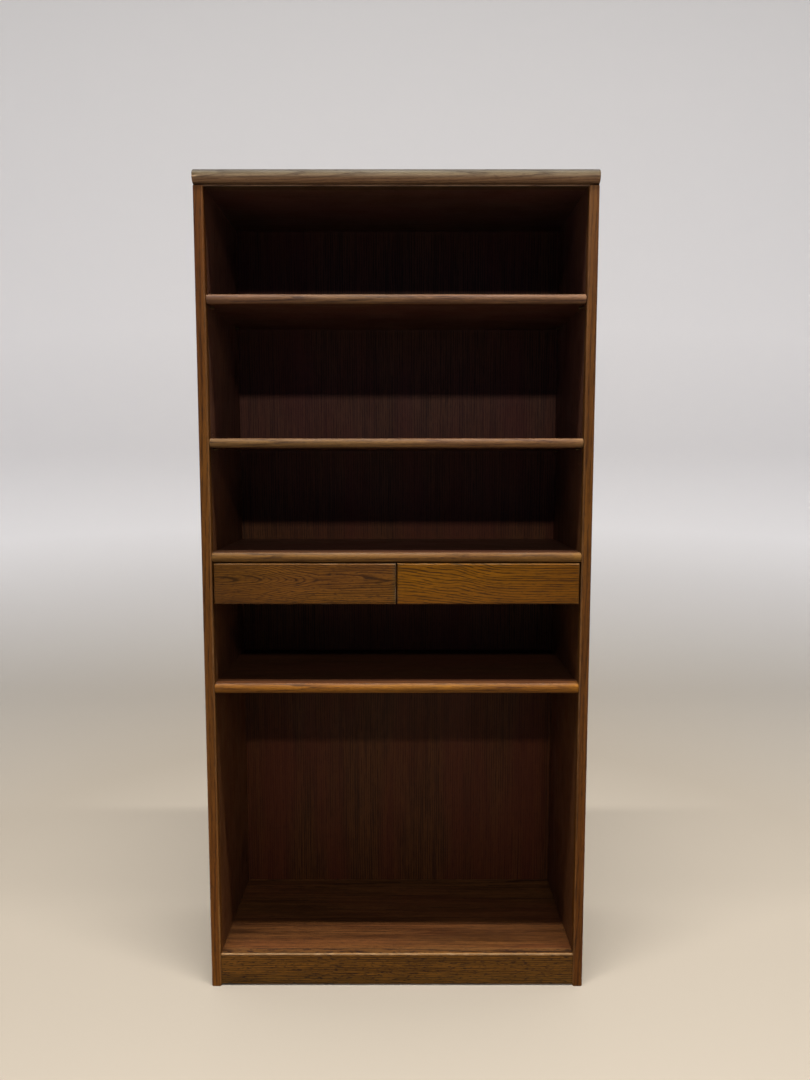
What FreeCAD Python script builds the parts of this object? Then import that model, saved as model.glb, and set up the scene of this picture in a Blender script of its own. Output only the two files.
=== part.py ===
import FreeCAD, Part
import os

# A bookcase with five open bays and a pair of drawers at mid-height, in millimetres.
# +Z is up and the front faces -Y. The origin is on the floor, at the middle of the
# bookcase's footprint. Boards are named from the top down: shelf_1 is the highest.

Vector = FreeCAD.Vector

# ---------------------------------------------------------------- driving sizes
# Case
case_width = 850.0
side_depth = 340.0
side_thickness = 22.0
side_lipping_depth = 20.0
side_arris = 4.0

# Clear heights and boards, from the floor up
plinth_height = 76.5
bottom_bay = 610.5
niche_bay = 191.0
drawer_floor_thickness = 15.0
drawer_bay = 64.2
display_bay = 227.4
upper_bay = 282.9
top_bay = 220.5
shelf_thickness = 20.0
fixed_shelf_thickness = 22.0
bottom_board_thickness = 20.0

# Top board: a rounded nose over a small square step, the quirk
top_thickness = 33.0
top_proud = 6.5
top_lipping_depth = 36.5
top_nose_bulge = 11.0
quirk_height = 3.0
quirk_depth = 2.0
top_arris = 1.5

# Shelves: a panel with a rounded solid lipping in front
shelf_lipping_depth = 24.0
shelf_nose_bulge = 6.5
shelf_setback = 1.0
loose_end_gap = 1.0
loose_rear_gap = 2.0

# Plinth
plinth_thickness = 20.0
plinth_setback = 3.0
plinth_floor_gap = 4.0
plinth_arris = 4.0
rear_plinth_inset = 12.0

# Back panel, in grooves in the sides and in the top
back_thickness = 5.5
back_inset = 8.0
groove_depth = 7.0
groove_play = 0.1
groove_end_play = 0.5

# Housings: the fixed boards and the divider stand in grooves that stop short of the front
housing_depth = 6.0
housing_stop = 8.0
housing_play = 0.05
housing_end_play = 0.2

# Drawer fronts, laid over the divider and the drawer floor
front_thickness = 20.0
front_height = 90.0
front_setback = 1.5
front_side_gap = 3.0
front_middle_gap = 3.0
front_top_gap = 1.8
front_arris = 3.5
finger_cove_radius = 7.0
front_stop_gap = 0.3
divider_thickness = 18.0
divider_in_shelf = 5.0
divider_in_floor = 4.0

# Drawer boxes: lapped dovetails into the front, through dovetails at the back
box_height = 60.0
box_depth = 290.0
box_wall = 12.0
divider_gap = 3.0
rim_radius = 2.0
lapped_tail = 13.0
tail_count = 2
tail_slope = 1.0 / 6.0
pin_width = 6.0
joint_play = 0.05
bottom_panel_thickness = 5.0
bottom_panel_lift = 10.0
bottom_groove = 5.0
bottom_play = 0.1

# Dowels between the sides and the top
dowel_diameter = 8.0
dowel_length = 30.0
dowel_inset = 45.0
dowel_play = 0.05
dowel_end_play = 0.5

# Pegs under the two movable shelves, and the spare holes above and below them
peg_diameter = 5.0
peg_length = 20.0
peg_in_side = 10.5
peg_hole_depth = 11.0
peg_play = 0.05
peg_inset = 37.0
peg_pitch = 32.0
peg_steps = 1

# Blocks glued into the plinth's corners
block_width = 22.0
block_bevel = 14.0
block_rise = 8.0

# Nails: through the back panel, and through the drawer bottoms
nail_diameter = 2.0
nail_play = 0.05
back_nail_length = 25.0
back_nail_count = 4
back_nail_inset = 60.0
bottom_nail_length = 18.0
bottom_nail_inset = 90.0

# ---------------------------------------------------------------- places
half_width = case_width / 2
inner_half = half_width - side_thickness
side_front = top_proud / 2 - side_depth / 2
side_rear = side_front + side_depth
top_front = side_front - top_proud
back_front = side_rear - back_inset - back_thickness
back_rear = back_front + back_thickness

bottom_top = plinth_height
bottom_low = bottom_top - bottom_board_thickness
shelf_4_low = bottom_top + bottom_bay
shelf_4_top = shelf_4_low + fixed_shelf_thickness
floor_low = shelf_4_top + niche_bay
floor_top = floor_low + drawer_floor_thickness
shelf_3_low = floor_top + drawer_bay
shelf_3_top = shelf_3_low + fixed_shelf_thickness
shelf_2_low = shelf_3_top + display_bay
shelf_2_top = shelf_2_low + shelf_thickness
shelf_1_low = shelf_2_top + upper_bay
shelf_1_top = shelf_1_low + shelf_thickness
top_low = shelf_1_top + top_bay
top_high = top_low + top_thickness

nose_front = side_front + shelf_setback
shelf_glue_line = nose_front + shelf_lipping_depth
plinth_front_face = side_front + plinth_setback
plinth_rear_face = plinth_front_face + plinth_thickness
rear_rail_back = back_front - rear_plinth_inset
rear_rail_front = rear_rail_back - plinth_thickness
housing_front = side_front + side_lipping_depth + housing_stop

front_face = side_front + front_setback
front_back = front_face + front_thickness
stop_edge = front_back + front_stop_gap
front_high = shelf_3_low - front_top_gap
front_low = front_high - front_height
box_low = floor_top
box_high = box_low + box_height
box_rear = front_back + box_depth

SIDES = (("left", -1), ("right", 1))


# ---------------------------------------------------------------- small tools
def board(x0, x1, y0, y1, z0, z1):
    """A rectangular board between two opposite corners."""
    return Part.makeBox(x1 - x0, y1 - y0, z1 - z0, Vector(x0, y0, z0))


def rod(start, direction, length, diameter):
    """A round rod from start along direction."""
    return Part.makeCylinder(diameter / 2, length, start, direction)


def edges_on(shape, x=None, y=None, z=None):
    """The edges whose ends all lie on the given planes."""
    def lies(vertex):
        pairs = ((vertex.X, x), (vertex.Y, y), (vertex.Z, z))
        return all(plane is None or abs(value - plane) < 1e-6 for value, plane in pairs)
    return [edge for edge in shape.Edges if all(lies(vertex) for vertex in edge.Vertexes)]


def cut(shape, tools):
    """The shape with every tool taken out of it."""
    return shape.cut(Part.makeCompound(tools)) if tools else shape


def extrude_x(edges, x0, x1):
    """A closed outline drawn in the YZ plane at x0, carried to x1."""
    return Part.Face(Part.Wire(edges)).extrude(Vector(x1 - x0, 0, 0))


def line(a, b):
    return Part.LineSegment(a, b).toShape()


def nosed_strip(x0, x1, nose, rear, z0, z1, bulge):
    """A strip whose front is one arc, bulging forward between its two faces."""
    low = Vector(x0, nose + bulge, z0)
    tip = Vector(x0, nose, (z0 + z1) / 2)
    high = Vector(x0, nose + bulge, z1)
    back_high = Vector(x0, rear, z1)
    back_low = Vector(x0, rear, z0)
    outline = [
        Part.Arc(low, tip, high).toShape(),
        line(high, back_high),
        line(back_high, back_low),
        line(back_low, low),
    ]
    return extrude_x(outline, x0, x1)


def write(name, *solids):
    """One STEP file per node; a group of like pieces is one file of separate solids."""
    shape = solids[0] if len(solids) == 1 else Part.makeCompound(list(solids))
    shape.exportStep(os.path.join("parts", name + ".step"))


# ---------------------------------------------------------------- round pieces and their holes
def hole(start, way, length, diameter, play, end_play=0.0):
    """The hole for a round piece, wider by play all round and longer at both ends."""
    return rod(start - way * end_play, way, length + 2 * end_play, diameter + 2 * play)


def top_dowels():
    """Where the dowels between the sides and the top start, each with its way up."""
    mid = half_width - side_thickness / 2
    ys = (side_front + dowel_inset, back_front - dowel_inset)
    z = top_low - dowel_length / 2
    return [(Vector(sign * mid, y, z), Vector(0, 0, 1)) for _, sign in SIDES for y in ys]


def top_dowel_holes():
    return [hole(start, way, dowel_length, dowel_diameter, dowel_play, dowel_end_play)
            for start, way in top_dowels()]


def pegs(z):
    """Where the four pegs under a shelf start, deep in the side panels, with their way out."""
    ys = (side_front + peg_inset, back_front - peg_inset)
    x = inner_half + peg_in_side
    return [(Vector(sign * x, y, z - peg_diameter / 2), Vector(-sign, 0, 0))
            for _, sign in SIDES for y in ys]


def peg_holes(z):
    """The pegs' own holes and the spare ones above and below, in both side panels."""
    lifts = [Vector(0, 0, step * peg_pitch) for step in range(-peg_steps, peg_steps + 1)]
    spare = peg_hole_depth - peg_in_side
    return [hole(start - way * spare + lift, way, peg_hole_depth, peg_diameter, peg_play)
            for start, way in pegs(z) for lift in lifts]


def back_nails():
    """Nails through the back panel into the rear edge of the bottom board."""
    span = 2 * (inner_half - back_nail_inset)
    step = span / (back_nail_count - 1)
    z = (bottom_low + bottom_top) / 2
    return [(Vector(back_nail_inset - inner_half + step * column, back_rear, z), Vector(0, -1, 0))
            for column in range(back_nail_count)]


def nail_holes(nails, length):
    return [hole(start, way, length, nail_diameter, nail_play) for start, way in nails]


# ---------------------------------------------------------------- the case
def housing(sign, low, high):
    """The groove in a side panel for the end of a fixed board."""
    inner = sign * inner_half
    deep = inner + sign * housing_depth
    return board(min(inner, deep), max(inner, deep), housing_front - housing_play, back_front,
                 low - housing_play, high + housing_play)


def housed_board(front, low, high):
    """A fixed board, notched at its front corners where its housings stop."""
    half = inner_half + housing_depth - housing_end_play
    body = board(-inner_half, inner_half, front, back_front, low, high)
    ends = board(-half, half, housing_front, back_front, low, high)
    return body.fuse(ends).removeSplitter()


def side_panel(sign):
    """An upright, with its back groove, its housings, peg holes and dowel holes."""
    outer, inner = sign * half_width, sign * inner_half
    x0, x1 = min(outer, inner), max(outer, inner)
    panel = board(x0, x1, side_front + side_lipping_depth, side_rear, 0, top_low)
    deep = inner + sign * groove_depth
    groove = board(min(inner, deep), max(inner, deep),
                   back_front - groove_play, back_rear + groove_play, 0, top_low)
    housings = [
        housing(sign, shelf_3_low, shelf_3_top),
        housing(sign, floor_low, floor_top),
        housing(sign, shelf_4_low, shelf_4_top),
        housing(sign, bottom_low, bottom_top),
    ]
    rounds = peg_holes(shelf_1_low) + peg_holes(shelf_2_low) + top_dowel_holes()
    return cut(panel, [groove] + housings + rounds)


def side_lipping(sign):
    """The solid front edge of an upright, both of its front arrises rounded."""
    outer, inner = sign * half_width, sign * inner_half
    strip = board(min(outer, inner), max(outer, inner),
                  side_front, side_front + side_lipping_depth, 0, top_low)
    arrises = edges_on(strip, x=outer, y=side_front) + edges_on(strip, x=inner, y=side_front)
    return strip.makeFillet(side_arris, arrises)


def top_board():
    """The top panel, behind its lipping, grooved for the back panel."""
    x0, x1 = -half_width, half_width
    panel = board(x0, x1, top_front + top_lipping_depth, side_rear, top_low, top_high)
    arrises = (edges_on(panel, x=x0, z=top_high) + edges_on(panel, x=x1, z=top_high)
               + edges_on(panel, y=side_rear, z=top_high))
    groove_half = inner_half + groove_depth
    groove = board(-groove_half, groove_half, back_front - groove_play,
                   back_rear + groove_play, top_low, top_low + groove_depth)
    return cut(panel.makeFillet(top_arris, arrises), [groove] + top_dowel_holes())


def top_lipping():
    """The top's nose: one arc from the upper face down to a small square quirk."""
    x0, x1 = -half_width, half_width
    nose_low = top_low + quirk_height
    nose_rear = top_front + top_nose_bulge
    step_rear = nose_rear + quirk_depth
    upper = Vector(x0, nose_rear, top_high)
    tip = Vector(x0, top_front, (nose_low + top_high) / 2)
    lower = Vector(x0, nose_rear, nose_low)
    corners = [
        lower,
        Vector(x0, step_rear, nose_low),
        Vector(x0, step_rear, top_low),
        Vector(x0, top_front + top_lipping_depth, top_low),
        Vector(x0, top_front + top_lipping_depth, top_high),
        upper,
    ]
    outline = [Part.Arc(upper, tip, lower).toShape()]
    outline += [line(a, b) for a, b in zip(corners, corners[1:])]
    strip = extrude_x(outline, x0, x1)
    ends = edges_on(strip, x=x0, z=top_high) + edges_on(strip, x=x1, z=top_high)
    return strip.makeFillet(top_arris, ends)


def shelf_lipping(low, high, end_gap):
    """The rounded solid front edge of a shelf."""
    half = inner_half - end_gap
    return nosed_strip(-half, half, nose_front, shelf_glue_line, low, high, shelf_nose_bulge)


def loose_shelf(low):
    """The panel of a shelf that lies on pegs."""
    half = inner_half - loose_end_gap
    return board(-half, half, shelf_glue_line, back_front - loose_rear_gap,
                 low, low + shelf_thickness)


def divider_body(play):
    """The upright between the drawers; with play, what is cut away for it."""
    half = divider_thickness / 2 + play
    low, high = floor_top - divider_in_floor, shelf_3_low + divider_in_shelf
    upright = board(-half, half, stop_edge, back_front, floor_top, shelf_3_low)
    housed = board(-half, half, housing_front - play, back_front, low - play, high + play)
    return upright.fuse(housed).removeSplitter()


def plinth_front():
    """The front rail, whose rounded upper arris is the case's lower front edge."""
    rail = board(-inner_half, inner_half, plinth_front_face, plinth_rear_face,
                 plinth_floor_gap, plinth_height)
    return rail.makeFillet(plinth_arris, edges_on(rail, y=plinth_front_face, z=plinth_height))


def plinth_back():
    return board(-inner_half, inner_half, rear_rail_front, rear_rail_back,
                 plinth_floor_gap, bottom_low)


def glue_blocks():
    """Bevelled blocks in the four corners between the plinth's rails and the sides."""
    blocks = []
    for _, sign in SIDES:
        wall, free = sign * inner_half, sign * (inner_half - block_width)
        for rail, away in ((plinth_rear_face, 1), (rear_rail_front, -1)):
            end = rail + away * block_width
            block = board(min(wall, free), max(wall, free), min(rail, end), max(rail, end),
                          plinth_floor_gap + block_rise, bottom_low)
            blocks.append(block.makeChamfer(block_bevel, edges_on(block, x=free, y=end)))
    return blocks


def back_panel():
    """Thin board, held in grooves in the sides and the top, and nailed at its foot."""
    half = inner_half + groove_depth - groove_end_play
    high = top_low + groove_depth - groove_end_play
    panel = board(-half, half, back_front, back_rear, bottom_low, high)
    return cut(panel, nail_holes(back_nails(), back_nail_length))


# ---------------------------------------------------------------- dovetails
def tail_prism(x0, x1, end, length, mid, width, play):
    """One tail. It is widest at end, and tail_slope narrows it along length to its root."""
    wide = width / 2 + play
    narrow = wide - abs(length) * tail_slope
    tip = end - play if length > 0 else end + play
    corners = [
        Vector(x0, tip, mid - wide),
        Vector(x0, tip, mid + wide),
        Vector(x0, end + length, mid + narrow),
        Vector(x0, end + length, mid - narrow),
    ]
    outline = [line(a, b) for a, b in zip(corners, corners[1:] + corners[:1])]
    return extrude_x(outline, x0, x1)


def tails(x0, x1, end, length, low, play=0.0):
    """The row of tails from low up to the rim, with a pin's room below and above each."""
    width = (box_high - low - (tail_count + 1) * pin_width) / tail_count
    mids = [low + pin_width + width / 2 + step * (width + pin_width) for step in range(tail_count)]
    return [tail_prism(x0 - play, x1 + play, end, length, mid, width, play) for mid in mids]


# ---------------------------------------------------------------- a drawer
def build_drawer(name, sign):
    """One drawer: its front, its dovetailed box, its bottom and its nails."""
    outer_face = sign * (inner_half - front_side_gap)
    lip_end = sign * front_middle_gap / 2
    divider_face = sign * (divider_thickness / 2 + divider_gap)
    front_x0, front_x1 = min(outer_face, lip_end), max(outer_face, lip_end)
    box_x0, box_x1 = min(outer_face, divider_face), max(outer_face, divider_face)
    inner_x0, inner_x1 = box_x0 + box_wall, box_x1 - box_wall
    tail_tip = front_back - lapped_tail
    back_inner = box_rear - box_wall
    panel_low = box_low + bottom_panel_lift
    panel_high = panel_low + bottom_panel_thickness
    walls = ((box_x0, inner_x0), (inner_x1, box_x1))

    # The groove that the bottom panel slides into from behind, under the back
    groove = board(inner_x0 - bottom_groove, inner_x1 + bottom_groove,
                   front_back - bottom_groove, box_rear,
                   panel_low - bottom_play / 2, panel_high + bottom_play / 2)

    # The front: rounded face arrises, a cove behind its lower edge for the fingers, and
    # sockets that leave a lap of wood before the tails
    front = board(front_x0, front_x1, front_face, front_back, front_low, front_high)
    front = front.makeFillet(front_arris, edges_on(front, y=front_face))
    cove = rod(Vector(front_x0, front_back, front_low), Vector(1, 0, 0),
               front_x1 - front_x0, 2 * finger_cove_radius)
    between = board(inner_x0, inner_x1, front_face, front_back, front_low, front_high)
    sockets = [socket for x0, x1 in walls
               for socket in tails(x0, x1, tail_tip, lapped_tail, box_low, joint_play)]
    write(name + "_front", cut(front, [cove, groove.common(between)] + sockets))

    # The back carries the pins of the through dovetails
    nail_xs = (inner_x0 + bottom_nail_inset, inner_x1 - bottom_nail_inset)
    nails = [(Vector(x, box_rear - box_wall / 2, panel_low), Vector(0, 0, 1)) for x in nail_xs]
    holes = nail_holes(nails, bottom_nail_length)
    back = board(box_x0, box_x1, back_inner, box_rear, panel_high, box_high)
    sockets = [socket for x0, x1 in walls
               for socket in tails(x0, x1, box_rear, -box_wall, panel_high, joint_play)]
    write(name + "_back", cut(back, sockets + holes))

    # The sides: nothing but tails is left of their ends, and their rims are rounded between
    labels = ("outer_side", "inner_side") if sign < 0 else ("inner_side", "outer_side")
    for label, (x0, x1) in zip(labels, walls):
        wall = board(x0, x1, tail_tip, box_rear, box_low, box_high)
        front_end = board(x0, x1, tail_tip, front_back, box_low, box_high)
        rear_end = board(x0, x1, back_inner, box_rear, panel_high, box_high)
        waste = [
            cut(front_end, tails(x0, x1, tail_tip, lapped_tail, box_low)),
            cut(rear_end, tails(x0, x1, box_rear, -box_wall, panel_high)),
        ]
        wall = cut(wall, waste + [groove])
        rim = edges_on(wall, x=x0, z=box_high) + edges_on(wall, x=x1, z=box_high)
        write(f"{name}_{label}", wall.makeFillet(rim_radius, rim))

    panel = board(inner_x0 - bottom_groove + bottom_play, inner_x1 + bottom_groove - bottom_play,
                  front_back - bottom_groove + bottom_play, box_rear, panel_low, panel_high)
    write(name + "_bottom", cut(panel, holes))
    write(name + "_bottom_nails", *[rod(start, way, bottom_nail_length, nail_diameter)
                                    for start, way in nails])


# ---------------------------------------------------------------- write every node
os.makedirs("parts", exist_ok=True)

for label, sign in SIDES:
    write("side_" + label, side_panel(sign))
    write("side_lipping_" + label, side_lipping(sign))
    build_drawer("drawer_" + label, sign)

write("top_board", top_board())
write("top_lipping", top_lipping())
write("top_dowels", *[rod(start, way, dowel_length, dowel_diameter) for start, way in top_dowels()])

write("shelf_1", loose_shelf(shelf_1_low))
write("shelf_2", loose_shelf(shelf_2_low))
write("shelf_3", cut(housed_board(shelf_glue_line, shelf_3_low, shelf_3_top),
                     [divider_body(housing_play)]))
write("shelf_4", housed_board(shelf_glue_line, shelf_4_low, shelf_4_top))
write("shelf_1_lipping", shelf_lipping(shelf_1_low, shelf_1_top, loose_end_gap))
write("shelf_2_lipping", shelf_lipping(shelf_2_low, shelf_2_top, loose_end_gap))
write("shelf_3_lipping", shelf_lipping(shelf_3_low, shelf_3_top, 0.0))
write("shelf_4_lipping", shelf_lipping(shelf_4_low, shelf_4_top, 0.0))
write("shelf_pegs", *[rod(start, way, peg_length, peg_diameter)
                      for low in (shelf_1_low, shelf_2_low) for start, way in pegs(low)])

write("drawer_floor", cut(housed_board(stop_edge, floor_low, floor_top),
                          [divider_body(housing_play)]))
write("drawer_divider", divider_body(0.0))

write("bottom_board", cut(housed_board(plinth_rear_face, bottom_low, bottom_top),
                          nail_holes(back_nails(), back_nail_length)))
write("plinth_front", plinth_front())
write("plinth_back", plinth_back())
write("glue_blocks", *glue_blocks())
write("back_panel", back_panel())
write("back_nails", *[rod(start, way, back_nail_length, nail_diameter)
                      for start, way in back_nails()])

print("width", case_width, "depth", side_rear - top_front, "height", top_high)
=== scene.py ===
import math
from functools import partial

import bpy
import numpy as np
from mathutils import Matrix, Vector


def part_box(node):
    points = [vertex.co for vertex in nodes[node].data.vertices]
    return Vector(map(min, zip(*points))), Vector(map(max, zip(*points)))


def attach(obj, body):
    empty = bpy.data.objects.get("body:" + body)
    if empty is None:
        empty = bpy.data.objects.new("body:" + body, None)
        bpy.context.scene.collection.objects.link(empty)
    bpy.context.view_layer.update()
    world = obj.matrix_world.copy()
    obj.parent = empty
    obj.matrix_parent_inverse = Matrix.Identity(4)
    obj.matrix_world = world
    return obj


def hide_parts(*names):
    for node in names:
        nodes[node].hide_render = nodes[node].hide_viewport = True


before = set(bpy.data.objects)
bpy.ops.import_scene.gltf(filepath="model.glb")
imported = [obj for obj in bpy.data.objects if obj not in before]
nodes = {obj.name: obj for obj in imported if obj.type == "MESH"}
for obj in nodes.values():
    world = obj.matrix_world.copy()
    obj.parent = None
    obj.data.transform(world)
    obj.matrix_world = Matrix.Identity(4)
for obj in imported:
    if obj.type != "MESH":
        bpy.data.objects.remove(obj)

# %% [markdown]
# A tall oak bookcase with two small drawers stands on a pale floor. Its construction is
# already exact: every board is a node of the frame, in metres, with the floor at z = 0 and
# the front facing -Y. This lesson gives those boards their stain, grain and lacquer, replaces
# the rounded solid edges by finer surfaces with their wear, and lights them. The bounds of
# the frame are kept, because the dressed bookcase has to stay the same size.

MM = 0.001
scene = bpy.context.scene
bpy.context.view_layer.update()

# %% [markdown]
# The bookcase is seen from the front by someone standing close to it, with the eye at about
# two thirds of its height and looking a little down. That closeness is what narrows the foot
# and opens up the tops of the lower shelves. A long lens from further off would flatten both,
# so the distance is set first, and the lens only fills the frame with what is seen from there.

# %% The camera
frame_height_px = 1080
focal_length_px = 780.0
sensor_long_side = 36.0
eye_distance = 1.687
eye_height = 1.1885
eye_offset = 0.0184
look_down = math.radians(5.397)
side_front_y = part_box("side_lipping_left")[0].y

camera_data = bpy.data.cameras.new("standing_eye")
camera_data.sensor_width = sensor_long_side
camera_data.lens = focal_length_px / frame_height_px * sensor_long_side
camera = bpy.data.objects.new("standing_eye", camera_data)
scene.collection.objects.link(camera)
camera.location = (eye_offset, side_front_y - eye_distance, eye_height)
camera.rotation_euler = (math.pi / 2 - look_down, 0, 0)
scene.camera = camera
print("lens, in millimetres:", round(camera_data.lens, 1))

# %% [markdown]
# Every new surface of this lesson is a grid of points, worked out as whole arrays: one
# parameter runs along the piece, the other round its section. A mesh also needs the corners
# of the faces between those points. On a grid they can be counted instead of searched for.

# %% From a grid of points to faces
def grid_quads(rows, columns, closed):
    """Corner numbers of the quads between neighbours of a grid, row by row; closed also
    joins the last column to the first one, as round a tube."""
    i = np.arange(rows - 1)[:, None]
    j = np.arange(columns if closed else columns - 1)[None, :]
    k = (j + 1) % columns
    corners = [i * columns + j, i * columns + k, (i + 1) * columns + k, (i + 1) * columns + j]
    return np.stack(corners, axis=-1).reshape(-1, 4)


print("a ring of 4 points, carried once:", grid_quads(2, 4, closed=True).tolist())

# %% [markdown]
# Dark wood takes its look from what surrounds it: a lacquered edge is bright only where it
# mirrors something bright. So the bookcase stands in a pale room without corners, a floor
# that sweeps up into a wall well behind it. Standing further back than the views from
# behind, the wall never comes between the bookcase and the eye.

# %% The floor and the wall, in one sheet
wall_y = 3.4
sweep_radius = 1.3
sweep_steps = 25
room_half_width = 26.0
room_height = 5.3
floor_front_y = -12.0

turn = np.linspace(-math.pi / 2, 0, sweep_steps)
room_y = np.concatenate([[floor_front_y], wall_y - sweep_radius + sweep_radius * np.cos(turn),
                         [wall_y]])
room_z = np.concatenate([[0.0], sweep_radius + sweep_radius * np.sin(turn), [room_height]])
room_x = np.array([-room_half_width, room_half_width])
room_grid = np.stack(np.broadcast_arrays(room_x[:, None], room_y[None], room_z[None]), axis=-1)
room_mesh = bpy.data.meshes.new("pale_room")
room_mesh.from_pydata(room_grid.reshape(-1, 3).tolist(), [],
                      grid_quads(*room_grid.shape[:2], closed=False).tolist())
room_mesh.shade_smooth()
room = bpy.data.objects.new("pale_room", room_mesh)
scene.collection.objects.link(room)
print("room:", len(room_mesh.polygons), "faces")

# %% [markdown]
# Paint, stain and sky are all circuits of nodes. The helpers below keep the wiring short:
# every one adds a node, and returns the node or the socket that the next one needs.

# %% Helpers for wiring nodes
def add(tree, kind, inputs=(), **settings):
    """Adds a node. Inputs is a list of (socket, value), and a value may be another socket."""
    node = tree.nodes.new(kind)
    for key, value in settings.items():
        setattr(node, key, value)
    for key, value in inputs:
        if isinstance(value, bpy.types.NodeSocket):
            tree.links.new(value, node.inputs[key])
        else:
            node.inputs[key].default_value = value
    return node


def maths(tree, operation, a, b=0.0, c=0.0, clamp=False):
    """One sum on two or three numbers, any of which may be a socket."""
    return add(tree, "ShaderNodeMath", [(0, a), (1, b), (2, c)], operation=operation,
               use_clamp=clamp).outputs[0]


def vectors(tree, operation, *operands):
    """One sum on vectors, any of which may be a socket. A length and a dot product come out
    as a number."""
    node = add(tree, "ShaderNodeVectorMath", list(enumerate(operands)), operation=operation)
    return node.outputs["Value" if operation in ("LENGTH", "DOT_PRODUCT") else "Vector"]


def parts(tree, vector):
    """The three parts of a vector, each as a socket."""
    return add(tree, "ShaderNodeSeparateXYZ", [(0, vector)]).outputs


def colour_stops(tree, value, stops, easing="LINEAR"):
    """A colour for each value, between stops, which is a list of (value, colour)."""
    node = add(tree, "ShaderNodeValToRGB", [("Fac", value)])
    node.color_ramp.interpolation = easing
    elements = node.color_ramp.elements
    for n, (position, colour) in enumerate(stops):
        element = elements[n] if n < 2 else elements.new(position)
        element.position = position
        element.color = (*colour, 1)
    return node.outputs["Color"]


def new_finish(name):
    """A bare material; returns it, its tree, its shader, and the piece's own coordinates."""
    material = bpy.data.materials.new(name)
    material.use_nodes = True
    tree = material.node_tree
    own = add(tree, "ShaderNodeTexCoord").outputs["Object"]
    return material, tree, tree.nodes["Principled BSDF"], own


print("helpers:", [helper.__name__ for helper in (add, maths, vectors, parts, colour_stops)])

# %% [markdown]
# One matt paint covers floor and wall. Its shade follows a single number: the height, and a little
# more for every metre from the bookcase. The floor round the foot is a warm tan. Further off and up
# the wall it turns pale, which is painted light where less lamp light reaches. Far up the wall it
# is grey, which is painted shade where the rear row shines brightest, so that the room looks evenly
# lit. A plain white would outshine the dark wood there, and its ends would show in the views from
# the side.

# %% The paint
# Paler with every metre from the bookcase: painted light where the lamps fall short.
painted_light_per_metre = 0.11
paint_start = 1.5 * painted_light_per_metre
paint_reach = 5.5
floor_tan = (0.24, 0.215, 0.180)
wall_pale = (0.72, 0.72, 0.715)
# Grey high on the wall: painted shade where the rear row shines brightest.
wall_painted_shade_grey = (0.40, 0.40, 0.40)
paint_stops = ((0.0, floor_tan), (0.19, wall_pale), (0.45, wall_pale), (0.90, wall_painted_shade_grey))

room_paint, paint_tree, room_shader, paint_place = new_finish("room_paint")
room_shader.inputs["Roughness"].default_value = 0.9
room_shader.inputs["Specular IOR Level"].default_value = 0.1
paler = maths(paint_tree, "MULTIPLY_ADD", vectors(paint_tree, "LENGTH", paint_place),
              painted_light_per_metre, parts(paint_tree, paint_place)["Z"])
paint_shade = add(paint_tree, "ShaderNodeMapRange",
                  [("Value", paler), ("From Min", paint_start), ("From Max", paint_reach)])
paint_tree.links.new(colour_stops(paint_tree, paint_shade.outputs["Result"], paint_stops),
                     room_shader.inputs["Base Color"])
room_mesh.materials.append(room_paint)
print("room_paint:", len(paint_tree.nodes), "nodes")

# %% [markdown]
# Three rows of ceiling lamps shape the case, each wide from side to side and narrow from
# front to back. The near row hangs high up, almost overhead, so that it reaches the foot as
# well as the top. It leaves only the front few centimetres of each shelf lit, and a longer
# strip of the tall bottom bay. The far row reaches past the shelves' edges to the back panel,
# where it draws the shadow of each shelf. The rear row lights the wall, and the bookcase's
# back for whoever walks round it.

# %% The lamps
row_colour = (1.0, 0.95, 0.88)
high_lamps = 6.0
far_lamps = 4.0
near_place = (0.22, -1.21)


def lamp_row(name, power, source, target, wide, deep, spread=math.pi):
    """A row of lamps as one rectangle, wide along X. Its light leaves along its own -Z, which
    is turned from the source to the target."""
    data = bpy.data.lights.new(name, "AREA")
    data.energy = power
    data.color = row_colour
    data.shape = "RECTANGLE"
    data.size = wide
    data.size_y = deep
    data.spread = spread
    lamp = bpy.data.objects.new(name, data)
    lamp.visible_camera = False
    lamp.location = source
    lamp.rotation_euler = (Vector(source) - Vector(target)).to_track_quat("Z", "Y").to_euler()
    scene.collection.objects.link(lamp)
    return lamp


rows = [lamp_row("near_row", 185, (*near_place, high_lamps), (*near_place, 0), 4.0, 0.14,
                 spread=math.radians(76)),
        lamp_row("far_row", 168, (0.2, -4.86, far_lamps), (0, 0, 1.0), 1.4, 0.22),
        lamp_row("rear_row", 1205, (0, 1.3, high_lamps), (0, 3.0, 1.0), 52.0, 1.0)]
print("lamps:", [row.name for row in rows])

# %% [markdown]
# Beyond the room lie two backgrounds. The first lights the wood and is mirrored in it, dim and
# cool in front and brighter overhead, so that the depths of the bays stay dark. The eye never
# sees it: for camera rays, the Light Path node puts a plain grey in its place, which rises
# softly out of the far floor's own shade.

# %% The surroundings
overhead = (0, 0.35, 0.94)
sky_stops = ((0.0, (0.42, 0.44, 0.72)), (0.9, (0.93, 0.97, 1.0)))
sky_strength = 0.46
backdrop_stops = ((0.0, (0.285, 0.290, 0.325)), (0.40, (0.60, 0.59, 0.585)))

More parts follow.
